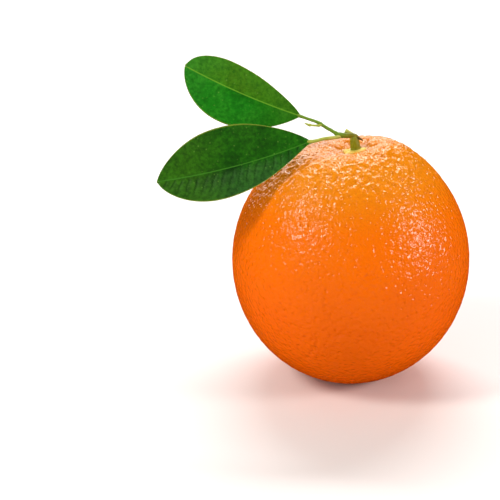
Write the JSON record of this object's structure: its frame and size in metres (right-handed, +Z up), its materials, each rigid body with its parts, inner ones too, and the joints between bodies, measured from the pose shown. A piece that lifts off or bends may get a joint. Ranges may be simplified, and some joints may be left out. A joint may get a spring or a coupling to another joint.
{
  "type": "orange",
  "caption": "Whole orange as picked, with calyx, short stem and a leafy twig, standing on the small flat spot under the fruit.",
  "frame": {"origin": "middle of the flat spot under the fruit, on the surface it stands on", "axes": "+Z up along the fruit's axis towards the stem; the leafy twig leans towards -X; -Y is the side that both leaves' faces look to"},
  "size_m": [0.1045, 0.08, 0.1098],
  "materials": {
    "rind": "satin",
    "calyx_skin": "matte",
    "green_bark": "satin",
    "pale_bark": "satin",
    "thorn_bark": "satin",
    "leaf_blade": "satin"
  },
  "bodies": {
    "root": {"orange": "rind", "calyx": "calyx_skin", "stem": "green_bark", "twig": "green_bark", "thorn": "thorn_bark", "cut_stub": "pale_bark", "side_shoot": "pale_bark", "upper_petiole": "green_bark", "upper_leaf": "leaf_blade", "lower_petiole": "pale_bark", "lower_leaf": "leaf_blade"}
  },
  "joints": []
}
